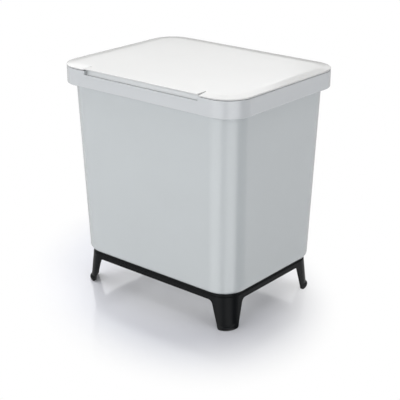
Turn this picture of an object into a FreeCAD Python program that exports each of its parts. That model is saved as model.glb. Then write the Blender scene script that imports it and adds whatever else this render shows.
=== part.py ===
import FreeCAD, Part
import Sketcher
import math
import os
from types import SimpleNamespace

# Two-compartment kitchen bin: outer bin, clip-on rim collar, hinged lid, leg stand, two buckets with bails.
# The front is towards -Y, +Z is up and the feet stand on z = 0. All sizes are millimetres, angles degrees.

# Driving dimensions
SIZES = {
    # Outer bin
    "bin_bottom": 57.5,             # flat underside of the bin above the floor
    "bin_height": 300.5,            # underside to rim
    "bin_base_width": 311.0,
    "bin_base_depth": 230.0,
    "bin_corner": 40.0,             # the same from base to rim
    "bin_base_round": 9.0,
    "bin_draft": 1.8,
    "bin_wall": 2.4,
    "flange_width": 6.0,            # lip that the collar snaps over
    "flange_thickness": 2.4,
    # Rim collar
    "flange_room": 1.66,            # from the flange's edge to the collar's outer wall
    "flange_clearance": 0.8,        # from the flange up to the finger recess
    "collar_corner": 42.0,
    "collar_height": 26.5,
    "collar_wall": 2.4,
    "collar_top_round": 0.6,
    "collar_bottom_round": 1.5,
    "mouth_wall": 2.2,              # inner skirt that hangs inside the bin
    "mouth_clearance": 0.4,
    "seat_rib_thickness": 2.0,
    "seat_rib_side_spacing": 120.0,
    "seat_rib_tab_gap": 14.0,       # front ribs outside the finger recess
    "seat_rib_back_spacing": 60.0,
    "snap_width": 16.0,
    "snap_height": 3.0,
    "snap_reach": 1.4,              # overlap of a snap under the bin's flange
    "snap_clearance": 0.3,
    "snap_hinge_gap": 30.0,         # middle of a snap inside the middle of a hinge
    # Finger recess and tab
    "tab_setback": 63.0,            # ends of the tab inside the lid's sides
    "tab_slot": 2.0,
    "recess_height": 6.0,
    "recess_depth_top": 7.0,
    "recess_depth_floor": 4.5,
    "recess_wall": 2.0,
    # Lid
    "lid_gap": 0.8,
    "lid_wall": 1.8,
    "lid_edge_round": 0.8,
    "border_drop": 1.6,             # underside of the flat panel above the border's underside
    "border_width": 21.0,
    "border_slope": 5.5,
    "crease_radius": 84.0,
    "rib_depth": 7.6,
    "rib_wall": 2.0,
    "rib_clearance": 2.0,
    "rib_setback": 52.5,            # the side ribs end this far inside the lid's back, clear of the hinge
    # Lid hinge
    "hinge_setback": 80.0,          # middle of a hinge inside the lid's side
    "hinge_drop": 14.8,             # pin centre below the collar's top
    "knuckle_radius": 4.2,
    "arm_width": 16.0,
    "arm_side_clearance": 0.5,
    "ear_thickness": 3.0,
    "ear_clearance": 0.5,
    "notch_clearance": 1.6,         # room under the knuckle for the lid's arm when it lies back
    "pin_radius": 1.5,
    "pin_running_clearance": 0.05,
    "pin_seat_clearance": 0.02,
    # Leg stand
    "stand_inset": 6.7,             # stand outline inside the bin's base outline
    "stand_corner": 28.0,
    "ledge_width": 16.0,
    "ledge_thickness": 2.5,
    "band_height": 12.9,            # band above the openings between the legs
    "band_rebate_height": 5.0,      # the band's upper strip is set back
    "band_rebate": 0.9,
    "leg_wall": 3.6,
    "leg_splay": 2.4,
    "leg_front_width_top": 31.3,    # leg widths are measured from the corner of the stand's outline
    "leg_front_width_sole": 17.8,
    "leg_side_width_top": 36.1,
    "leg_side_width_sole": 24.0,
    "leg_fillet": 8.0,
    "toe_corner": 23.0,
    "toe_height": 8.5,
    "toe_bulge_height": 4.2,        # the toe curls out furthest here, most of all at its corner
    "toe_bulge_corner": 17.2,
    "toe_bulge": 0.5,
    "sole_corner": 21.0,
    "sole_bulge": 0.3,
    "toe_end_round": 4.0,
    # Hooks that hold the stand on the bin
    "hook_spacing": 150.0,
    "hook_width": 14.0,
    "hook_thickness": 3.0,
    "hook_setback": 8.5,            # hook face inside the stand's outline
    "hook_barb": 1.3,
    "hook_barb_height": 3.5,
    "hook_clearance": 0.3,
    # Inner buckets
    "bucket_drop": 36.0,            # rim of a bucket below the bin's rim
    "bucket_clearance": 7.9,        # from a bucket's rim to the bin's wall
    "bucket_gap": 5.0,              # between the two rims
    "bucket_lip": 4.5,
    "bucket_lip_thickness": 2.2,
    "bucket_wall": 1.8,
    "bucket_draft": 2.0,
    "bucket_base_corner": 22.0,
    "bucket_base_round": 10.0,
    # Bails
    "bail_width": 8.0,
    "bail_thickness": 5.0,
    "bail_setback": 3.0,            # far edge of the grip inside the bucket's rim
    "bail_corner": 24.0,
    "bail_rest_clearance": 0.2,
    "bail_edge_round": 1.2,
    "bail_side_clearance": 0.5,
    "trunnion_radius": 2.0,
    "trunnion_clearance": 0.06,
    "trunnion_end_clearance": 0.2,
    "bail_ear_thickness": 3.0,
    "bail_ear_radius": 5.0,
    # Cuts and roots
    "cut_past": 1.0,                # how far a cut runs past the face it opens
    "root_depth": 0.5,              # how far an added feature is sunk into the wall that carries it
}


class Size:
    """A length or an angle together with the formula that ties it to the sheet."""

    def __init__(self, value, formula):
        self.value = value
        self.formula = formula

    def __add__(self, other):
        other = as_size(other)
        return Size(self.value + other.value, f"({self.formula} + {other.formula})")

    def __sub__(self, other):
        other = as_size(other)
        return Size(self.value - other.value, f"({self.formula} - {other.formula})")

    def __mul__(self, other):
        other = as_size(other)
        return Size(self.value * other.value, f"({self.formula} * {other.formula})")

    def __truediv__(self, other):
        other = as_size(other)
        return Size(self.value / other.value, f"({self.formula} / {other.formula})")

    def __neg__(self):
        return Size(-self.value, f"(0 - {self.formula})")


def as_size(number):
    return number if isinstance(number, Size) else Size(float(number), f"{float(number)}")


def sine(angle):
    return Size(math.sin(math.radians(angle.value)), f"sin({angle.formula} * 1 deg)")


def cosine(angle):
    return Size(math.cos(math.radians(angle.value)), f"cos({angle.formula} * 1 deg)")


def tangent(angle):
    return Size(math.tan(math.radians(angle.value)), f"tan({angle.formula} * 1 deg)")


doc = FreeCAD.newDocument("two_compartment_bin")
sheet = doc.addObject("Spreadsheet::Sheet", "sizes")
for row, (name, value) in enumerate(SIZES.items(), start=1):
    sheet.set(f"A{row}", name)
    sheet.set(f"B{row}", str(value))
    sheet.setAlias(f"B{row}", name)
doc.recompute()
s = SimpleNamespace(**{name: Size(value, f"sizes.{name}") for name, value in SIZES.items()})
PAST = s.cut_past
BURIED = s.root_depth


# Sketch helpers
def bind(thing, path, size):
    thing.setExpression(path, size.formula)


def origin_feature(body, role):
    return next(feature for feature in body.Origin.OriginFeatures if feature.Role == role)


def new_body(name):
    body = doc.addObject("PartDesign::Body", name)
    body.Label = name
    return body


def new_sketch(body, name, plane, offset=None):
    """A sketch on one of the body's origin planes, moved along the plane's normal by offset."""
    sketch = body.newObject("Sketcher::SketchObject", name)
    sketch.AttachmentSupport = (origin_feature(body, plane + "_Plane"), [""])
    sketch.MapMode = "FlatFace"
    if offset is not None:
        sketch.AttachmentOffset = FreeCAD.Placement(FreeCAD.Vector(0, 0, offset.value), FreeCAD.Rotation())
        bind(sketch, "AttachmentOffset.Base.z", offset)
    return sketch


def constrain(sketch, size, *definition):
    index = sketch.addConstraint(Sketcher.Constraint(*definition, size.value))
    bind(sketch, f"Constraints[{index}]", size)


def place_point(sketch, geometry, point, x, y):
    """Ties a sketch point to its two coordinates; a coordinate of nought lies on the axis."""
    for kind, size, axis in (("DistanceX", x, -2), ("DistanceY", y, -1)):
        if size.value == 0:
            sketch.addConstraint(Sketcher.Constraint("PointOnObject", geometry, point, axis))
        else:
            constrain(sketch, size, kind, -1, 1, geometry, point)


def rounded_rectangle(sketch, width, depth, corner):
    """A centred rectangle whose sides run tangent into its four corner arcs."""
    across, along, radius = width.value / 2, depth.value / 2, corner.value
    straight_x, straight_y = across - radius, along - radius
    ends = (
        ((-straight_x, -along), (straight_x, -along)),
        ((across, -straight_y), (across, straight_y)),
        ((straight_x, along), (-straight_x, along)),
        ((-across, straight_y), (-across, -straight_y)),
    )
    centers = (
        (straight_x, -straight_y),
        (straight_x, straight_y),
        (-straight_x, straight_y),
        (-straight_x, -straight_y),
    )
    sides = []
    arcs = []
    for start, end in ends:
        line = Part.LineSegment(FreeCAD.Vector(*start, 0), FreeCAD.Vector(*end, 0))
        sides.append(sketch.addGeometry(line, False))
    for quarter, center in enumerate(centers):
        circle = Part.Circle(FreeCAD.Vector(*center, 0), FreeCAD.Vector(0, 0, 1), radius)
        first = (quarter - 1) * math.pi / 2
        arcs.append(sketch.addGeometry(Part.ArcOfCircle(circle, first, first + math.pi / 2), False))
    for side, arc in enumerate(arcs):
        sketch.addConstraint(Sketcher.Constraint("Tangent", sides[side], 2, arc, 1))
        sketch.addConstraint(Sketcher.Constraint("Tangent", arc, 2, sides[(side + 1) % 4], 1))
    for side, kind in enumerate(("Horizontal", "Vertical", "Horizontal", "Vertical")):
        sketch.addConstraint(Sketcher.Constraint(kind, sides[side]))
    for arc in arcs[1:]:
        sketch.addConstraint(Sketcher.Constraint("Equal", arcs[0], arc))
    sketch.addConstraint(Sketcher.Constraint("Symmetric", arcs[0], 3, arcs[2], 3, -1, 1))
    constrain(sketch, corner, "Radius", arcs[0])
    constrain(sketch, width, "DistanceX", sides[3], 1, sides[1], 1)
    constrain(sketch, depth, "DistanceY", sides[0], 1, sides[2], 1)


def outline(sketch, corners, arcs=None):
    """A closed outline through corners. Each entry of arcs curves the side that starts at that corner:
    its radius, and 1 to bulge to the right of the side or -1 to the left. A half circle stands on a level
    chord, so its centre is tied to that level."""
    arcs = arcs or {}
    points = [FreeCAD.Vector(x.value, y.value, 0) for x, y in corners]
    pieces = []
    for number, start in enumerate(points):
        end = points[(number + 1) % len(points)]
        if number not in arcs:
            piece = sketch.addGeometry(Part.LineSegment(start, end), False)
        else:
            radius, bulge = arcs[number]
            chord = end - start
            rise = math.sqrt(max(radius.value ** 2 - chord.Length ** 2 / 4, 0))
            right = FreeCAD.Vector(chord.y, -chord.x, 0).normalize()
            middle = (start + end) / 2 + right * ((radius.value - rise) * bulge)
            piece = sketch.addGeometry(Part.Arc(start, middle, end), False)
            if rise > 1e-6:
                constrain(sketch, radius, "Radius", piece)
            else:
                constrain(sketch, corners[number][1], "DistanceY", -1, 1, piece, 3)
        pieces.append((piece, 1 if sketch.getPoint(piece, 1).isEqual(start, 1e-6) else 2))
    for number, (piece, first) in enumerate(pieces):
        place_point(sketch, piece, first, *corners[number])
        following, following_first = pieces[(number + 1) % len(pieces)]
        sketch.addConstraint(Sketcher.Constraint("Coincident", piece, 3 - first, following, following_first))


def rectangle(sketch, low_x, high_x, low_y, high_y):
    outline(sketch, [(low_x, low_y), (high_x, low_y), (high_x, high_y), (low_x, high_y)])


def circle(sketch, x, y, radius):
    center = FreeCAD.Vector(x.value, y.value, 0)
    piece = sketch.addGeometry(Part.Circle(center, FreeCAD.Vector(0, 0, 1), radius.value), False)
    place_point(sketch, piece, 3, x, y)
    constrain(sketch, radius, "Radius", piece)


# Feature helpers
def extrude(kind, sketch, length, symmetric=False, reverse=False):
    body = sketch.getParentGeoFeatureGroup()
    feature = body.newObject(f"PartDesign::{kind}", f"{sketch.Name}_{kind.lower()}")
    feature.Profile = sketch
    feature.Length = length.value
    bind(feature, "Length", length)
    feature.SideType = "Symmetric" if symmetric else "One side"
    feature.Reversed = reverse
    doc.recompute()
    return feature


def pad(sketch, length, symmetric=False, reverse=False):
    return extrude("Pad", sketch, length, symmetric, reverse)


def pocket(sketch, length, symmetric=False, reverse=False):
    """Cuts the sketch out of the body and makes sure that something was cut."""
    body = sketch.getParentGeoFeatureGroup()
    before = body.Tip.Shape.Volume
    feature = extrude("Pocket", sketch, length, symmetric, reverse)
    if not feature.Shape.Volume < before:
        raise RuntimeError(f"{sketch.Name} cuts nothing")
    return feature


def loft(kind, first, *others):
    """Straight sides between two sections, a smooth run through three."""
    body = first.getParentGeoFeatureGroup()
    feature = body.newObject(f"PartDesign::{kind}Loft", f"{first.Name}_loft")
    feature.Profile = first
    feature.Sections = list(others)
    feature.Ruled = len(others) == 1
    doc.recompute()
    return feature


def sweep(profile, path):
    body = profile.getParentGeoFeatureGroup()
    feature = body.newObject("PartDesign::AdditivePipe", f"{profile.Name}_sweep")
    feature.Profile = profile
    feature.Spine = path
    feature.Mode = "Standard"
    doc.recompute()
    return feature


def mirror(feature, plane):
    body = feature.getParentGeoFeatureGroup()
    mirrored = body.newObject("PartDesign::Mirrored", f"{feature.Name}_mirrored")
    mirrored.Originals = [feature]
    mirrored.MirrorPlane = (origin_feature(body, plane + "_Plane"), [""])
    body.Tip = mirrored
    doc.recompute()
    return mirrored


def fillet(base, radius, wanted):
    """Rounds the edges of the base feature that the test picks by their box."""
    body = base.getParentGeoFeatureGroup()
    names = [f"Edge{number}" for number, edge in enumerate(base.Shape.Edges, 1) if wanted(edge.BoundBox)]
    if not names:
        raise RuntimeError(f"{base.Name} has no such edge to round")
    feature = body.newObject("PartDesign::Fillet", f"{base.Name}_fillet")
    feature.Base = (base, names)
    feature.Radius = radius.value
    bind(feature, "Radius", radius)
    doc.recompute()
    return feature


def at_height(height):
    return lambda box: abs(box.ZMin - height.value) < 1e-4 and abs(box.ZMax - height.value) < 1e-4


# Levels and fits that several pieces share
bin_rim = s.bin_bottom + s.bin_height
collar_top = bin_rim + s.flange_clearance + s.recess_wall + s.recess_height
collar_bottom = collar_top - s.collar_height
lid_under = collar_top + s.lid_gap
panel_under = lid_under + s.border_drop
lid_top = panel_under + s.lid_wall


def bin_growth(level):
    """How far the drafted bin wall has moved out at a level, measured from its base."""
    return (level - s.bin_bottom) * tangent(s.bin_draft)


rim_growth = bin_growth(bin_rim)
wall_at_rim_x = s.bin_base_width / 2 + rim_growth
wall_at_rim_y = s.bin_base_depth / 2 + rim_growth
overhang = s.flange_width + s.flange_room + s.collar_wall
half_width = wall_at_rim_x + overhang
half_depth = wall_at_rim_y + overhang
skirt_inset = bin_growth(collar_bottom) - s.bin_wall - s.mouth_clearance
skirt_x = s.bin_base_width / 2 + skirt_inset
skirt_y = s.bin_base_depth / 2 + skirt_inset
skirt_corner = s.bin_corner - s.bin_wall - s.mouth_clearance
mouth_x = skirt_x - s.mouth_wall
mouth_y = skirt_y - s.mouth_wall
mouth_corner = skirt_corner - s.mouth_wall

tab_half = half_width - s.tab_setback
hinge_x = half_width - s.hinge_setback
hinge_y = half_depth - s.knuckle_radius
hinge_z = collar_top - s.hinge_drop
notch_half = s.arm_width / 2 + s.arm_side_clearance
ear_half = notch_half + s.ear_thickness
ear_front = wall_at_rim_y + s.ear_clearance
notch_floor = hinge_z - s.knuckle_radius - s.notch_clearance

stand_x = s.bin_base_width / 2 - s.stand_inset
stand_y = s.bin_base_depth / 2 - s.stand_inset
ledge_under = s.bin_bottom - s.ledge_thickness
hook_outer = stand_y - s.hook_setback
hook_inner = hook_outer - s.hook_thickness


# Drafted shells: one wall section swept round the base outline, with a flat floor panel inside it
def drafted_shell(body, base_width, base_depth, base_corner, bottom, rim, draft, wall, base_round, rim_lip):
    """Gives the body a shell with a rounded base edge and a lip of rim_lip = (width, thickness)."""
    lip_width, lip_thickness = rim_lip
    path = new_sketch(body, f"{body.Name}_base_path", "XY", bottom)
    rounded_rectangle(path, base_width, base_depth, base_corner)

    base_x = base_width / 2
    floor_top = bottom + wall
    panel_inset = base_round * 2
    lean = tangent(draft)
    bend = tangent((as_size(90) - draft) / 2)
    outer_bend = base_round * bend
    inner_round = base_round - wall
    inner_bend = inner_round * bend
    inner_x = base_x - wall + wall * lean
    rim_x = base_x + (rim - bottom) * lean
    section = new_sketch(body, f"{body.Name}_wall_section", "XZ")
    outline(
        section,
        [
            (base_x - panel_inset, bottom),
            (base_x - outer_bend, bottom),
            (base_x + outer_bend * sine(draft), bottom + outer_bend * cosine(draft)),
            (rim_x - lip_thickness * lean, rim - lip_thickness),
            (rim_x + lip_width, rim - lip_thickness),
            (rim_x + lip_width, rim),
            (rim_x - wall, rim),
            (inner_x + inner_bend * sine(draft), floor_top + inner_bend * cosine(draft)),
            (inner_x - inner_bend, floor_top),
            (base_x - panel_inset, floor_top),
        ],
        arcs={1: (base_round, 1), 7: (inner_round, -1)},
    )
    sweep(section, path)

    floor = new_sketch(body, f"{body.Name}_floor", "XY", bottom)
    rounded_rectangle(
        floor,
        base_width - panel_inset * 2,
        base_depth - panel_inset * 2,
        base_corner - panel_inset,
    )
    pad(floor, wall)


# Outer bin: drafted tub with a snap flange round its rim and four hooks under its floor
def make_tub(name, bottom, top, inset):
    """A solid tub with the bin's draft; its outline lies inset inside the bin's outer face."""
    body = new_body(name)
    base = new_sketch(body, f"{name}_base", "XY", bottom)
    growth = bin_growth(bottom) - inset
    base_x = s.bin_base_width / 2 + growth
    base_y = s.bin_base_depth / 2 + growth
    rectangle(base, -base_x, base_x, -base_y, base_y)
    block = pad(base, top - bottom)
    tall = (top - bottom).value / 2
    leaning = body.newObject("PartDesign::Draft", f"{name}_draft")
    leaning.Base = (block, [f"Face{n}" for n, face in enumerate(block.Shape.Faces, 1)
                            if face.BoundBox.ZLength > tall])
    leaning.NeutralPlane = (base, [""])
    leaning.Reversed = True
    bind(leaning, "Angle", s.bin_draft)
    doc.recompute()
    rounded = fillet(leaning, s.bin_corner - inset, lambda box: box.ZLength > tall)
    fillet(rounded, s.bin_base_round - inset, at_height(bottom))
    return body


def make_outer_bin():
    body = make_tub("bin_outside", s.bin_bottom, bin_rim, as_size(0))
    flange = new_sketch(body, "flange", "XY", bin_rim)
    rounded_rectangle(
        flange,
        (wall_at_rim_x + s.flange_width) * 2,
        (wall_at_rim_y + s.flange_width) * 2,
        s.bin_corner + s.flange_width,
    )
    pad(flange, s.flange_thickness, reverse=True)

    gaps = new_sketch(body, "flange_hinge_gaps", "XY", bin_rim)
    gap_half = ear_half + s.ear_clearance
    for center in (hinge_x, -hinge_x):
        rectangle(gaps, center - gap_half, center + gap_half,
                  wall_at_rim_y, wall_at_rim_y + s.flange_width + PAST)
    pocket(gaps, s.flange_thickness)

    hooks = new_sketch(body, "stand_hooks", "YZ", s.hook_spacing / 2)
    top = s.bin_bottom + BURIED
    barb_top = ledge_under - s.hook_clearance
    tip = barb_top - s.hook_barb_height
    for side in (1, -1):
        outline(hooks, [
            (hook_inner * side, top),
            (hook_inner * side, tip),
            (hook_outer * side, tip),
            ((hook_outer + s.hook_barb) * side, barb_top),
            (hook_outer * side, barb_top),
            (hook_outer * side, top),
        ])
    mirror(pad(hooks, s.hook_width, symmetric=True), "YZ")

    shell = doc.addObject("Part::Cut", "outer_bin")
    shell.Label = "outer_bin"
    shell.Base = body
    shell.Tool = make_tub("bin_inside", s.bin_bottom + s.bin_wall, bin_rim + PAST, s.bin_wall)
    doc.recompute()
    return shell


# Rim collar: inverted channel that snaps over the flange, with the finger recess and the hinge ears
def make_rim_collar():
    body = new_body("rim_collar")
    ring = new_sketch(body, "collar_ring", "XY", collar_bottom)
    rounded_rectangle(ring, half_width * 2, half_depth * 2, s.collar_corner)
    rounded_rectangle(ring, mouth_x * 2, mouth_y * 2, mouth_corner)
    solid = pad(ring, s.collar_height)

    def on_outer_edge(level):
        flat = at_height(level)
        return lambda box: flat(box) and (
            max(abs(box.XMin), abs(box.XMax)) > mouth_x.value + s.mouth_wall.value
            or max(abs(box.YMin), abs(box.YMax)) > mouth_y.value + s.mouth_wall.value
        )

    solid = fillet(solid, s.collar_top_round, on_outer_edge(collar_top))
    fillet(solid, s.collar_bottom_round, on_outer_edge(collar_bottom))

    channel = new_sketch(body, "flange_channel", "XY", collar_bottom)
    rounded_rectangle(
        channel,
        (half_width - s.collar_wall) * 2,
        (half_depth - s.collar_wall) * 2,
        s.collar_corner - s.collar_wall,
    )
    rounded_rectangle(channel, skirt_x * 2, skirt_y * 2, skirt_corner)
    pocket(channel, s.collar_height - s.collar_wall, reverse=True)

    add_finger_recess(body)
    add_hinge_ears(body)
    add_seat_ribs(body)
    add_snaps(body)
    return body


def add_finger_recess(body):
    recess_floor = collar_top - s.recess_height
    under = recess_floor - s.recess_wall
    box = new_sketch(body, "recess_box", "XY", under)
    box_half = tab_half + s.recess_wall
    rectangle(box, -box_half, box_half,
              -(half_depth - BURIED * 2), -(half_depth - s.recess_depth_top - s.recess_wall))
    pad(box, collar_top - under)

    hollow = new_sketch(body, "recess_hollow", "YZ")
    slope = (s.recess_depth_top - s.recess_depth_floor) / s.recess_height
    outline(hollow, [
        (-(half_depth + PAST), recess_floor),
        (-(half_depth - s.recess_depth_floor), recess_floor),
        (-(half_depth - s.recess_depth_top - slope * PAST), collar_top + PAST),
        (-(half_depth + PAST), collar_top + PAST),
    ])
    pocket(hollow, tab_half * 2, symmetric=True)


def add_hinge_ears(body):
    ears = new_sketch(body, "hinge_ears", "XY", notch_floor)
    for center in (hinge_x, -hinge_x):
        rectangle(ears, center - ear_half, center + ear_half, ear_front, half_depth - s.collar_wall + BURIED)
    pad(ears, collar_top - s.collar_wall + BURIED - notch_floor)

    notches = new_sketch(body, "hinge_notches", "XY", collar_top)
    for center in (hinge_x, -hinge_x):
        rectangle(notches, center - notch_half, center + notch_half, ear_front, half_depth + PAST)
    pocket(notches, collar_top - notch_floor)

    bores = new_sketch(body, "pin_bores", "YZ")
    circle(bores, hinge_y, hinge_z, s.pin_radius + s.pin_seat_clearance)
    pocket(bores, (hinge_x + ear_half + PAST) * 2, symmetric=True)


def add_seat_ribs(body):
    """Ribs inside the channel that stand on the bin's flange and carry the collar."""
    ribs = new_sketch(body, "seat_ribs", "XY", bin_rim)
    half_rib = s.seat_rib_thickness / 2
    front_rib_x = tab_half + s.recess_wall + s.seat_rib_tab_gap
    outer_x = half_width - s.collar_wall + BURIED
    outer_y = half_depth - s.collar_wall + BURIED
    for side in (1, -1):
        for end in (1, -1):
            along = s.seat_rib_side_spacing / 2 * end
            near, far = sorted(((skirt_x - BURIED) * side, outer_x * side), key=lambda size: size.value)
            rectangle(ribs, near, far, along - half_rib, along + half_rib)
            along = (s.seat_rib_back_spacing / 2 if side > 0 else front_rib_x) * end
            near, far = sorted(((skirt_y - BURIED) * side, outer_y * side), key=lambda size: size.value)
            rectangle(ribs, along - half_rib, along + half_rib, near, far)
    pad(ribs, collar_top - s.collar_wall + BURIED - bin_rim)


def add_snaps(body):
    """Catches on the outer wall that sit just under the bin's flange."""
    flange_under = bin_rim - s.flange_thickness
    snaps = new_sketch(body, "flange_snaps", "XY", flange_under - s.snap_clearance)
    half_snap = s.snap_width / 2
    inner_x = wall_at_rim_x + s.flange_width - s.snap_reach
    inner_y = wall_at_rim_y + s.flange_width - s.snap_reach
    outer_x = half_width - s.collar_wall + BURIED
    outer_y = half_depth - s.collar_wall + BURIED
    for side in (1, -1):
        near, far = sorted((inner_x * side, outer_x * side), key=lambda size: size.value)
        rectangle(snaps, near, far, -half_snap, half_snap)
        for end in (1, -1):
            along = (hinge_x - s.snap_hinge_gap) * end
            near, far = sorted((inner_y * side, outer_y * side), key=lambda size: size.value)
            rectangle(snaps, along - half_snap, along + half_snap, near, far)
    pad(snaps, s.snap_height, reverse=True)


# Lid: flat panel in a swept border with a locating rib, a raised finger tab and two hinge arms
def make_lid():
    body = new_body("lid")
    path = new_sketch(body, "border_path", "XY", lid_under)
    rounded_rectangle(path, half_width * 2, half_depth * 2, s.collar_corner)

    bevel_inset = s.border_width - s.crease_radius * sine(s.border_slope)
    bevel_top = lid_top - s.crease_radius * (as_size(1) - cosine(s.border_slope))
    edge_top = bevel_top - bevel_inset * tangent(s.border_slope)
    section = [
        (as_size(0), lid_under),
        (as_size(0), edge_top - s.lid_edge_round),
        (s.lid_edge_round, edge_top + s.lid_edge_round * tangent(s.border_slope)),
        (bevel_inset, bevel_top),
        (s.border_width, lid_top),
        (s.border_width, panel_under),
        (bevel_inset, lid_under),
    ]
    profile = new_sketch(body, "border_section", "XZ")
    outline(
        profile,
        [(half_width - inset, level) for inset, level in section],
        arcs={1: (s.lid_edge_round, 1), 3: (s.crease_radius, 1)},
    )
    sweep(profile, path)

    panel = new_sketch(body, "panel", "XY", panel_under)
    rounded_rectangle(
        panel,
        (half_width - s.border_width) * 2,
        (half_depth - s.border_width) * 2,
        s.collar_corner - s.border_width,
    )
    pad(panel, s.lid_wall)

    rib_tip = lid_under - s.rib_depth
    rib = new_sketch(body, "locating_rib", "XY", rib_tip)
    for inset in (s.rib_clearance, s.rib_clearance + s.rib_wall):
        rounded_rectangle(rib, (mouth_x - inset) * 2, (mouth_y - inset) * 2, mouth_corner - inset)
    pad(rib, panel_under + BURIED - rib_tip)

    rib_opening = new_sketch(body, "rib_rear_opening", "XY", rib_tip)
    rectangle(rib_opening, -mouth_x, mouth_x, half_depth - s.rib_setback, mouth_y)
    pocket(rib_opening, s.rib_depth, reverse=True)

    add_finger_tab(body)
    add_hinge_arms(body)
    return body


def add_finger_tab(body):
    """The border is cut away in front of the rib, and the flat panel runs out to the front edge there."""
    gap = new_sketch(body, "tab_gap", "XY", lid_top + PAST)
    gap_half = tab_half + s.tab_slot
    rectangle(gap, -gap_half, gap_half, -(half_depth + PAST), -(mouth_y - s.rib_clearance))
    pocket(gap, lid_top + PAST - lid_under + PAST)

    tab = new_sketch(body, "finger_tab", "XY", panel_under)
    rectangle(tab, -tab_half, tab_half, -half_depth, -(half_depth - s.border_width))
    plate = pad(tab, s.lid_wall)
    front = -half_depth.value
    fillet(plate, s.lid_edge_round, lambda box: at_height(lid_top)(box) and abs(box.YMin - front) < 1e-4
           and abs(box.YMax - front) < 1e-4)


def add_hinge_arms(body):
    """Two arms hang from the border and end in knuckles round the pins, flush with the collar's back."""
    arms = new_sketch(body, "hinge_arms", "YZ", hinge_x)
    front = hinge_y - s.knuckle_radius
    rear = hinge_y + s.knuckle_radius
    top = lid_under + BURIED
    outline(
        arms,
        [(front, hinge_z), (rear, hinge_z), (rear, top), (front, top)],
        arcs={0: (s.knuckle_radius, 1)},
    )
    mirror(pad(arms, s.arm_width, symmetric=True), "YZ")

    bores = new_sketch(body, "knuckle_bores", "YZ")
    circle(bores, hinge_y, hinge_z, s.pin_radius + s.pin_running_clearance)
    pocket(bores, (hinge_x + notch_half) * 2, symmetric=True)


# Hinge pins, each held in the two ears beside its notch
def make_hinge_pin(name, side):
    pin = doc.addObject("Part::Cylinder", name)
    pin.Label = name
    length = ear_half * 2
    bind(pin, "Radius", s.pin_radius)
    bind(pin, "Height", length)
    pin.Placement = FreeCAD.Placement(
        FreeCAD.Vector(hinge_x.value * side - ear_half.value, hinge_y.value, hinge_z.value),
        FreeCAD.Rotation(FreeCAD.Vector(0, 1, 0), 90),
    )
    bind(pin, "Placement.Base.x", hinge_x * side - ear_half)
    bind(pin, "Placement.Base.y", hinge_y)
    bind(pin, "Placement.Base.z", hinge_z)
    doc.recompute()
    return pin


# Leg stand: splayed ring with curled toes, opened between the legs on all four sides
def make_leg_stand():
    body = new_body("leg_stand")
    toe_x = stand_x + s.leg_splay
    toe_y = stand_y + s.leg_splay

    def ring_outline(name, level, half_x, half_y, corner, inset):
        sketch = new_sketch(body, name, "XY", level)
        rounded_rectangle(sketch, (half_x - inset) * 2, (half_y - inset) * 2, corner - inset)
        return sketch

    for kind, inset in (("Additive", as_size(0)), ("Subtractive", s.leg_wall)):
        loft(
            kind,
            ring_outline(f"{kind.lower()}_toe", s.toe_height, toe_x, toe_y, s.toe_corner, inset),
            ring_outline(f"{kind.lower()}_top", s.bin_bottom, stand_x, stand_y, s.stand_corner, inset),
        )

    ledge = new_sketch(body, "ledge", "XY", s.bin_bottom)
    for inset in (s.leg_wall / 2, s.leg_wall + s.ledge_width):
        rounded_rectangle(ledge, (stand_x - inset) * 2, (stand_y - inset) * 2, s.stand_corner - inset)
    pad(ledge, s.ledge_thickness, reverse=True)

    def toe_section(name, level, bulge, corner):
        return ring_outline(name, level, toe_x + bulge, toe_y + bulge, corner, as_size(0))

    loft(
        "Additive",
        toe_section("toe_top", s.toe_height, as_size(0), s.toe_corner),
        toe_section("toe_middle", s.toe_bulge_height, s.toe_bulge, s.toe_bulge_corner),
        toe_section("toe_sole", as_size(0), s.sole_bulge, s.sole_corner),
    )
    inside = ring_outline("toe_inside", s.toe_height, toe_x, toe_y, s.toe_corner, s.leg_wall)
    pocket(inside, s.toe_height)

    rebate = new_sketch(body, "band_rebate", "XY", s.bin_bottom)
    for outset in (PAST, -s.band_rebate):
        rounded_rectangle(rebate, (stand_x + outset) * 2, (stand_y + outset) * 2, s.stand_corner + outset)
    pocket(rebate, s.band_rebate_height)

    opening_top = s.bin_bottom - s.band_height
    openings = (
        ("XZ", stand_x - s.leg_front_width_top, stand_x - s.leg_front_width_sole),
        ("YZ", stand_y - s.leg_side_width_top, stand_y - s.leg_side_width_sole),
    )
    for plane, top_half, sole_half in openings:
        opening = new_sketch(body, f"leg_opening_{plane.lower()}", plane)
        flare = sole_half + s.toe_end_round
        outline(
            opening,
            [
                (-flare, -PAST),
                (flare, -PAST),
                (flare, as_size(0)),
                (sole_half, s.toe_end_round),
                (top_half, opening_top),
                (-top_half, opening_top),
                (-sole_half, s.toe_end_round),
                (-flare, as_size(0)),
            ],
            arcs={2: (s.toe_end_round, -1), 6: (s.toe_end_round, -1)},
        )
        cut = pocket(opening, s.bin_base_width * 2, symmetric=True)
        fillet(cut, s.leg_fillet, at_opening_corner(plane[0], top_half, opening_top))

    slots = new_sketch(body, "hook_slots", "XY", s.bin_bottom)
    half_slot = s.hook_width / 2 + s.hook_clearance
    for center in (s.hook_spacing / 2, -(s.hook_spacing / 2)):
        for side in (1, -1):
            near, far = sorted(
                ((hook_inner - s.hook_clearance) * side, (hook_outer + s.hook_clearance) * side),
                key=lambda size: size.value,
            )
            rectangle(slots, center - half_slot, center + half_slot, near, far)
    pocket(slots, s.ledge_thickness)
    return body


def at_opening_corner(across, half, level):
    """Picks the straight edges that run through the wall at an opening's two upper corners."""
    flat = at_height(level)

    def wanted(box):
        low, high = (box.XMin, box.XMax) if across == "X" else (box.YMin, box.YMax)
        return flat(box) and high - low < 1e-3 and abs(abs(low) - half.value) < 1e-3

    return wanted


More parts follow.
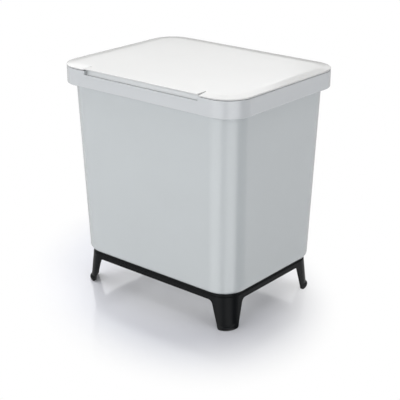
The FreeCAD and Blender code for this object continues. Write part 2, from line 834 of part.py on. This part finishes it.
# Inner buckets: drafted shell, turned-out rim and two ears for the bail
bucket_floor = s.bin_bottom + s.bin_wall
bucket_rim = bin_rim - s.bucket_drop
bucket_inset = bin_growth(bucket_rim) - s.bin_wall - s.bucket_clearance
bucket_half_width = (s.bin_base_width / 2 + bucket_inset - s.bucket_gap / 2) / 2
bucket_half_depth = s.bin_base_depth / 2 + bucket_inset
bucket_x = bucket_half_width + s.bucket_gap / 2
bail_radius = s.bail_thickness / 2
bail_z = bucket_rim + s.bail_rest_clearance + bail_radius
bail_ear_inner = bucket_half_width - s.bail_ear_thickness
bail_outer = bail_ear_inner - s.bail_side_clearance


def make_bucket(name, side):
    body = new_body(name)
    taper = (bucket_rim - bucket_floor) * tangent(s.bucket_draft) + s.bucket_lip
    drafted_shell(
        body,
        base_width=(bucket_half_width - taper) * 2,
        base_depth=(bucket_half_depth - taper) * 2,
        base_corner=s.bucket_base_corner,
        bottom=bucket_floor,
        rim=bucket_rim,
        draft=s.bucket_draft,
        wall=s.bucket_wall,
        base_round=s.bucket_base_round,
        rim_lip=(s.bucket_lip, s.bucket_lip_thickness),
    )

    ears = new_sketch(body, f"{name}_bail_ears", "YZ", bail_ear_inner)
    ear_foot = bucket_rim - BURIED
    outline(
        ears,
        [
            (-s.bail_ear_radius, ear_foot),
            (s.bail_ear_radius, ear_foot),
            (s.bail_ear_radius, bail_z),
            (-s.bail_ear_radius, bail_z),
        ],
        arcs={2: (s.bail_ear_radius, 1)},
    )
    mirror(pad(ears, s.bail_ear_thickness), "YZ")
    bores = new_sketch(body, f"{name}_bail_bores", "YZ")
    circle(bores, as_size(0), bail_z, s.trunnion_radius + s.trunnion_clearance)
    pocket(bores, (bucket_half_width + PAST) * 2, symmetric=True)
    bind(body, "Placement.Base.x", bucket_x * side)
    doc.recompute()
    return body


# Bails: a flat bar bent round the bucket's rim, with a round eye and a trunnion at each end
def make_handle(name, side):
    body = new_body(name)
    bar = new_sketch(body, f"{name}_bar", "XY", bail_z - bail_radius)
    end = as_size(0)
    reach = bucket_half_depth - s.bail_setback
    inner = bail_outer - s.bail_width
    inner_reach = reach - s.bail_width
    bend = reach - s.bail_corner
    straight = bail_outer - s.bail_corner
    inner_corner = s.bail_corner - s.bail_width
    outline(
        bar,
        [
            (bail_outer, end),
            (bail_outer, bend),
            (straight, reach),
            (-straight, reach),
            (-bail_outer, bend),
            (-bail_outer, end),
            (-inner, end),
            (-inner, bend),
            (-straight, inner_reach),
            (straight, inner_reach),
            (inner, bend),
            (inner, end),
        ],
        arcs={
            1: (s.bail_corner, 1),
            3: (s.bail_corner, 1),
            7: (inner_corner, -1),
            9: (inner_corner, -1),
        },
    )
    flat = pad(bar, s.bail_thickness)
    grip_start = inner_reach.value - inner_corner.value
    fillet(flat, s.bail_edge_round, lambda box: box.ZLength < 1e-4 and box.YMax > grip_start)

    eye = new_sketch(body, f"{name}_eye", "YZ", inner)
    circle(eye, as_size(0), bail_z, bail_radius)
    mirror(pad(eye, s.bail_width), "YZ")

    trunnion = new_sketch(body, f"{name}_trunnion", "YZ", bail_outer - BURIED)
    circle(trunnion, as_size(0), bail_z, s.trunnion_radius)
    trunnion_length = s.bail_side_clearance + s.bail_ear_thickness - s.trunnion_end_clearance + BURIED
    mirror(pad(trunnion, trunnion_length), "YZ")
    bind(body, "Placement.Base.x", bucket_x * side)
    doc.recompute()
    return body


# Build, check and write
pieces = [
    make_outer_bin(),
    make_rim_collar(),
    make_lid(),
    make_hinge_pin("hinge_pin_left", -1),
    make_hinge_pin("hinge_pin_right", 1),
    make_leg_stand(),
    make_bucket("bucket_left", -1),
    make_bucket("bucket_right", 1),
    make_handle("handle_left", -1),
    make_handle("handle_right", 1),
]
doc.recompute()
failed = [item.Name for item in doc.Objects if "Invalid" in item.State or "Error" in item.State]
if failed:
    raise RuntimeError(f"failed objects: {failed}")
os.makedirs("parts", exist_ok=True)
for piece in pieces:
    shape = piece.Shape
    if shape.isNull() or not shape.isValid() or len(shape.Solids) != 1:
        raise RuntimeError(f"{piece.Label} is not one valid solid")
for piece in pieces:
    piece.Shape.exportStep(f"parts/{piece.Label}.step")
    box = piece.Shape.optimalBoundingBox()
    print(f"{piece.Label}: {box.XLength:.1f} x {box.YLength:.1f} x {box.ZLength:.1f} mm")
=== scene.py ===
import math

import bpy
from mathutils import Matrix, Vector

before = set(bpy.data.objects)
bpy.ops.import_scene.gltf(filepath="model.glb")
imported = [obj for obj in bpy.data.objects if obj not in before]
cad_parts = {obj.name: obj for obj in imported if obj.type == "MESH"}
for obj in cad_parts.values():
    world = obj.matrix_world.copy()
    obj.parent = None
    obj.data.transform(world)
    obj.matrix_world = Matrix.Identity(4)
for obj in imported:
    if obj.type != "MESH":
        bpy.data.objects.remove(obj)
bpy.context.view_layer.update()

scene = bpy.context.scene
scene.view_settings.view_transform = "Standard"

# Camera, as in the photograph: metres, with lens and sensor in millimetres
AZIMUTH = math.radians(39.87)
ELEVATION = math.radians(21.2)
DISTANCE = 1.71376
TARGET = Vector((0.00262, 0.00219, 0.14539))
LENS = 95.41
SENSOR = 36.0
FARTHEST = 50.0


def add_aimed(name, data, place, aim):
    """Adds a camera or a lamp that looks from its place at its aim."""
    thing = bpy.data.objects.new(name, data)
    thing.location = Vector(place)
    thing.rotation_mode = "QUATERNION"
    thing.rotation_quaternion = (Vector(aim) - Vector(place)).to_track_quat("-Z", "Y")
    scene.collection.objects.link(thing)
    return thing


def make_camera():
    towards_camera = Vector((
        math.sin(AZIMUTH) * math.cos(ELEVATION),
        -math.cos(AZIMUTH) * math.cos(ELEVATION),
        math.sin(ELEVATION),
    ))
    data = bpy.data.cameras.new("photo_camera")
    data.sensor_width = SENSOR
    data.lens = LENS
    data.clip_end = FARTHEST
    scene.camera = add_aimed("photo_camera", data, TARGET + towards_camera * DISTANCE, TARGET)


# Node helpers
WHITE = (1.0, 1.0, 1.0, 1.0)
NOISE_RANGE = (0.3, 0.7)

# Sockets of a Mix node that hold colours
MIX_FACTOR = 0
MIX_FIRST = 6
MIX_SECOND = 7
MIX_RESULT = 2


def feed(tree, value, socket):
    """Links another node's output to a socket, or sets a plain value on it."""
    if isinstance(value, bpy.types.NodeSocket):
        tree.links.new(value, socket)
    else:
        socket.default_value = value


def feed_all(tree, node, inputs):
    for key, value in inputs.items():
        feed(tree, value, node.inputs[key])


def add_node(tree, kind, inputs, **settings):
    node = tree.nodes.new(kind)
    for key, setting in settings.items():
        setattr(node, key, setting)
    feed_all(tree, node, inputs)
    return node


def new_material(name):
    """A new material with its node tree, its shader and the place on the piece."""
    material = bpy.data.materials.new(name)
    material.use_nodes = True
    tree = material.node_tree
    place = tree.nodes.new("ShaderNodeTexCoord").outputs["Object"]
    return material, tree, tree.nodes["Principled BSDF"], place


def opaque(color):
    return (*color, 1.0)


def calculated(tree, operation, *values, clamp=False):
    node = add_node(tree, "ShaderNodeMath", dict(enumerate(values)), operation=operation, use_clamp=clamp)
    return node.outputs[0]


def length_of(tree, vector):
    return add_node(tree, "ShaderNodeVectorMath", {0: vector}, operation="LENGTH").outputs["Value"]


def ranged(tree, value, given, wanted, interpolation="LINEAR"):
    """Maps a value from the given range onto the wanted one, and holds it there."""
    inputs = {
        "Value": value,
        "From Min": given[0],
        "From Max": given[1],
        "To Min": wanted[0],
        "To Max": wanted[1],
    }
    return add_node(tree, "ShaderNodeMapRange", inputs, interpolation_type=interpolation).outputs["Result"]


def mixed(tree, factor, first, second, blend="MIX"):
    inputs = {MIX_FACTOR: factor, MIX_FIRST: first, MIX_SECOND: second}
    return add_node(tree, "ShaderNodeMix", inputs, data_type="RGBA", blend_type=blend).outputs[MIX_RESULT]


def noise(tree, place, scale, detail, roughness=0.55):
    inputs = {"Vector": place, "Scale": scale, "Detail": detail, "Roughness": roughness}
    return add_node(tree, "ShaderNodeTexNoise", inputs).outputs["Fac"]


def spread(tree, value, low, high):
    """Maps a noise value, which stays near the middle, onto low to high."""
    return ranged(tree, value, NOISE_RANGE, (low, high))


def bumped(tree, height, strength, depth, normal=None):
    inputs = {"Height": height, "Strength": strength, "Distance": depth}
    if normal is not None:
        inputs["Normal"] = normal
    return add_node(tree, "ShaderNodeBump", inputs).outputs["Normal"]


# Moulded plastic: noise scales are per metre, depths and radii in metres
FLOW_SCALE = 9.0
SPECK_PER_GRAIN = 0.35
SPECK_SHARE = 0.3
ROUGHNESS_SPREAD = 0.05
GRAIN_STRENGTH = 0.35
COAT_ROUGHNESS = 0.08
EDGE_SAMPLES = 4
SLOT_SAMPLES = 8
# Painted shade in a piece's own narrow slots: how far the occlusion reaches, how open a slot is, and how
# dark it is painted
SLOT_REACH = 0.003
SLOT_OPENNESS = (0.15, 0.55)
SLOT_SHADE = (0.2, 1.0)


def slot_painted_shade(tree, color):
    """Painted shade: darkens the base colour in a piece's own narrow slots, where shade falls."""
    occlusion = add_node(
        tree, "ShaderNodeAmbientOcclusion", {"Distance": SLOT_REACH}, samples=SLOT_SAMPLES, only_local=True,
    )
    shade = ranged(tree, occlusion.outputs["AO"], SLOT_OPENNESS, SLOT_SHADE)
    return mixed(tree, 1.0, color, shade, "MULTIPLY")


def moulded_plastic(name, color, tone, roughness, grain_scale, grain_depth, edge_radius,
                    specular=0.5, coat=0.0):
    """Injection-moulded plastic: faint flow mottling, spark-eroded grain, softened edges and painted shade
    in its own narrow slots.
    """
    material, tree, shader, place = new_material(name)
    flow = noise(tree, place, FLOW_SCALE, detail=3.0)
    speck = noise(tree, place, grain_scale * SPECK_PER_GRAIN, detail=2.0)
    flow_part = calculated(tree, "MULTIPLY", flow, 1.0 - SPECK_SHARE)
    mottle = calculated(tree, "MULTIPLY_ADD", speck, SPECK_SHARE, flow_part)
    darker = tuple(channel * (1.0 - tone) for channel in color)
    lighter = tuple(min(channel * (1.0 + tone), 1.0) for channel in color)
    tone_color = mixed(tree, spread(tree, mottle, 0.0, 1.0), opaque(darker), opaque(lighter))
    grain = noise(tree, place, grain_scale, detail=4.0, roughness=0.6)
    edge = add_node(tree, "ShaderNodeBevel", {"Radius": edge_radius}, samples=EDGE_SAMPLES)
    feed_all(tree, shader, {
        # The base colour carries painted shade in the piece's own narrow slots
        "Base Color": slot_painted_shade(tree, tone_color),
        "Roughness": spread(tree, grain, roughness - ROUGHNESS_SPREAD, roughness + ROUGHNESS_SPREAD),
        "Normal": bumped(tree, grain, GRAIN_STRENGTH, grain_depth, edge.outputs["Normal"]),
        "Specular IOR Level": specular,
        "Coat Weight": coat,
        "Coat Roughness": COAT_ROUGHNESS,
    })
    return material


# Drawn steel: how fine the die's lines are along and across the wire
WIRE_LINES = (40.0, 4000.0, 4000.0)
WIRE_DARK = (0.50, 0.50, 0.51)
WIRE_PALE = (0.66, 0.66, 0.67)
WIRE_ROUGHNESS = (0.22, 0.38)
WIRE_LINE_STRENGTH = 0.2
WIRE_LINE_DEPTH = 0.00002


def drawn_steel(name):
    """Pin wire: fine lines along X, where the die has drawn it."""
    material, tree, shader, place = new_material(name)
    stretch = add_node(tree, "ShaderNodeMapping", {"Vector": place, "Scale": WIRE_LINES})
    lines = noise(tree, stretch.outputs["Vector"], 1.0, detail=3.0)
    feed_all(tree, shader, {
        "Base Color": mixed(tree, spread(tree, lines, 0.0, 1.0), opaque(WIRE_DARK), opaque(WIRE_PALE)),
        "Roughness": spread(tree, lines, *WIRE_ROUGHNESS),
        "Normal": bumped(tree, lines, WIRE_LINE_STRENGTH, WIRE_LINE_DEPTH),
        "Metallic": 1.0,
    })
    return material


# Materials of the pieces
def finish_pieces():
    white_lid = moulded_plastic(
        "white_lid", (0.80, 0.80, 0.79), tone=0.012, roughness=0.16,
        grain_scale=1500.0, grain_depth=0.00002, edge_radius=0.0005,
    )
    white_collar = moulded_plastic(
        "white_collar", (0.72, 0.745, 0.755), tone=0.012, roughness=0.17,
        grain_scale=1500.0, grain_depth=0.00002, edge_radius=0.0005, specular=1.0, coat=0.9,
    )
    white_body = moulded_plastic(
        "white_body", (0.668, 0.708, 0.711), tone=0.014, roughness=0.17,
        grain_scale=1500.0, grain_depth=0.00002, edge_radius=0.0006, specular=1.0, coat=0.9,
    )
    black_stand = moulded_plastic(
        "black_stand", (0.007, 0.008, 0.009), tone=0.10, roughness=0.28,
        grain_scale=1900.0, grain_depth=0.00005, edge_radius=0.0008, specular=0.16,
    )
    grey_bucket = moulded_plastic(
        "grey_bucket", (0.30, 0.31, 0.32), tone=0.03, roughness=0.45,
        grain_scale=1300.0, grain_depth=0.00005, edge_radius=0.0006,
    )
    dark_bail = moulded_plastic(
        "dark_bail", (0.12, 0.124, 0.128), tone=0.06, roughness=0.40,
        grain_scale=1700.0, grain_depth=0.00005, edge_radius=0.0004,
    )
    pin_steel = drawn_steel("pin_steel")
    finishes = {
        "outer_bin": white_body,
        "rim_collar": white_collar,
        "lid": white_lid,
        "leg_stand": black_stand,
        "bucket_left": grey_bucket,
        "bucket_right": grey_bucket,
        "handle_left": dark_bail,
        "handle_right": dark_bail,
        "hinge_pin_left": pin_steel,
        "hinge_pin_right": pin_steel,
    }
    for node, material in finishes.items():
        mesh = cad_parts[node].data
        mesh.materials.clear()
        mesh.materials.append(material)


# Painted reflection: bands of glow that the floor shows only to glossy rays, which the glossy walls mirror
# as streaks; turn about the near corner in degrees, and how pale each band is
NEAR_CORNER = (0.13, -0.09, 0.0)
PAINTED_REFLECTION_BANDS = (
    (-60, 0.52), (-38, 0.52), (-16, 1.00), (6, 1.00), (26, 0.42), (34, 0.45),
    (48, 0.95), (72, 1.00), (96, 0.0), (112, 0.10), (126, 0.30), (142, 0.60),
)


def painted_reflection(tree, place):
    """The painted reflection's colour at a place, by its turn from the front towards the right."""
    from_corner = add_node(tree, "ShaderNodeVectorMath", {0: place, 1: NEAR_CORNER}, operation="SUBTRACT")
    axes = add_node(tree, "ShaderNodeSeparateXYZ", {0: from_corner.outputs["Vector"]})
    forward = calculated(tree, "MULTIPLY", axes.outputs["Y"], -1.0)
    turn = calculated(tree, "ARCTAN2", axes.outputs["X"], forward)
    ramp = add_node(tree, "ShaderNodeValToRGB", {"Fac": ranged(tree, turn, (-math.pi, math.pi), (0.0, 1.0))})
    ramp.color_ramp.interpolation = "EASE"
    stops = ramp.color_ramp.elements
    while len(stops) < len(PAINTED_REFLECTION_BANDS):
        stops.new(1.0)
    for stop, (degrees, level) in zip(stops, PAINTED_REFLECTION_BANDS):
        stop.position = (degrees + 180) / 360
        stop.color = opaque((level, level, level))
    return ramp.outputs["Color"]


# Floor: a pale sheet with a faint gloss, with a pool of shade that runs out to white away from the part
FLOOR_HALF = 6.0
FLOOR_COLOR = (0.865, 0.87, 0.925)
FLOOR_ROUGHNESS = 0.12
FLOOR_SPECULAR = 0.7
POOL_CENTRE = (-0.037, -0.011, 0.0)
POOL_TURN = math.radians(55.0)
POOL_SIZE = (0.30, 0.444, 1.0)
POOL_FADE = (0.453, 0.85)

# Painted light: under the bin, where the floor is in shade, the camera sees it a little paler again, out to
# this distance from the middle
UNDER_PAINTED_REACH = (0.079, 0.216)
UNDER_PAINTED_LIGHT = 0.255


def whiteness(tree, place):
    """How far the floor is faded to white at a place, with painted light on the shaded floor under the bin.
    """
    pool_inputs = {
        "Vector": place,
        "Location": POOL_CENTRE,
        "Rotation": (0.0, 0.0, POOL_TURN),
        "Scale": POOL_SIZE,
    }
    pool = add_node(tree, "ShaderNodeMapping", pool_inputs, vector_type="TEXTURE")
    fade = ranged(tree, length_of(tree, pool.outputs["Vector"]), POOL_FADE, (0.0, 1.0), "SMOOTHSTEP")
    # Painted light: the floor glows paler under the bin, where it is in shade
    painted_lift = ranged(tree, length_of(tree, place), UNDER_PAINTED_REACH, (UNDER_PAINTED_LIGHT, 0.0), "SMOOTHSTEP")
    return calculated(tree, "ADD", fade, painted_lift, clamp=True)


def pale_floor():
    """Fades to white for the camera, and shows bands of painted reflection to glossy rays."""
    material, tree, shader, place = new_material("pale_floor")
    feed_all(tree, shader, {
        "Base Color": opaque(FLOOR_COLOR),
        "Roughness": FLOOR_ROUGHNESS,
        "Specular IOR Level": FLOOR_SPECULAR,
    })
    seen = tree.nodes.new("ShaderNodeLightPath").outputs
    faded = whiteness(tree, place)
    share = calculated(tree, "MULTIPLY_ADD", faded, seen["Is Camera Ray"], seen["Is Glossy Ray"])
    # Glossy rays see the floor glow with the painted reflection bands, and the camera sees it plain white
    color = mixed(tree, seen["Is Glossy Ray"], WHITE, painted_reflection(tree, place))
    white = add_node(tree, "ShaderNodeEmission", {"Color": color, "Strength": 1.0})
    mix = add_node(tree, "ShaderNodeMixShader", {0: share, 1: shader.outputs[0], 2: white.outputs[0]})
    feed(tree, mix.outputs[0], tree.nodes["Material Output"].inputs["Surface"])
    return material


def make_floor():
    corners = [(-1, -1), (1, -1), (1, 1), (-1, 1)]
    mesh = bpy.data.meshes.new("floor")
    mesh.from_pydata([(x * FLOOR_HALF, y * FLOOR_HALF, 0.0) for x, y in corners], [], [(0, 1, 2, 3)])
    mesh.materials.append(pale_floor())
    floor = bpy.data.objects.new("floor", mesh)
    scene.collection.objects.link(floor)


# Light: a dome that pales upwards, and large soft panels (place, aim, width, height, power)
DOME_TINT = (0.975, 0.985, 1.0)
DOME_RISE = (0.05, 0.55)
DOME_HORIZON = 0.12
DOME_ZENITH = 0.20
PANELS = {
    "overhead": ((-0.25, 0.36, 2.2), (0.0, 0.0, 0.2), 3.0, 3.0, 34.0),
    "left": ((-1.10, 0.05, 1.30), (-0.1, 0.0, 0.37), 1.0, 1.0, 6.3),
    "back": ((-1.60, 1.56, 0.98), (0.0, 0.0, 0.35), 3.0, 0.30, 2.1),
    "back_high": ((-1.75, 1.38, 1.65), (0.0, 0.0, 0.35), 1.9, 1.2, 7.8),
    "front": ((-0.5, -2.0, 0.82), (0.0, 0.0, 0.2), 2.6, 1.5, 20.0),
    "right": ((1.9, 0.1, 0.9), (0.0, 0.0, 0.2), 1.2, 1.2, 6.8),
    "corner": ((1.36, -1.02, 0.19), (0.0, 0.0, 0.15), 1.0, 0.32, 2.2),
}


def make_dome():
    """Lights the part from all round; the camera itself sees plain white."""
    world = bpy.data.worlds.new("studio")
    scene.world = world
    world.use_nodes = True
    tree = world.node_tree
    direction = tree.nodes.new("ShaderNodeTexCoord").outputs["Generated"]
    height = add_node(tree, "ShaderNodeSeparateXYZ", {0: direction}).outputs["Z"]
    level = ranged(tree, height, DOME_RISE, (DOME_HORIZON, DOME_ZENITH), "SMOOTHSTEP")
    dome = tree.nodes["Background"]
    feed_all(tree, dome, {"Color": opaque(DOME_TINT), "Strength": level})
    white = add_node(tree, "ShaderNodeBackground", {"Color": WHITE, "Strength": 1.0})
    seen = tree.nodes.new("ShaderNodeLightPath").outputs["Is Camera Ray"]
    mix = add_node(tree, "ShaderNodeMixShader", {0: seen, 1: dome.outputs[0], 2: white.outputs[0]})
    feed(tree, mix.outputs[0], tree.nodes["World Output"].inputs["Surface"])


def make_panel(name, place, aim, width, height, power):
    data = bpy.data.lights.new(name, "AREA")
    data.shape = "RECTANGLE"
    data.size = width
    data.size_y = height
    data.energy = power
    add_aimed(name, data, place, aim)


make_camera()
finish_pieces()
make_floor()
make_dome()
for name, setting in PANELS.items():
    make_panel(name, *setting)
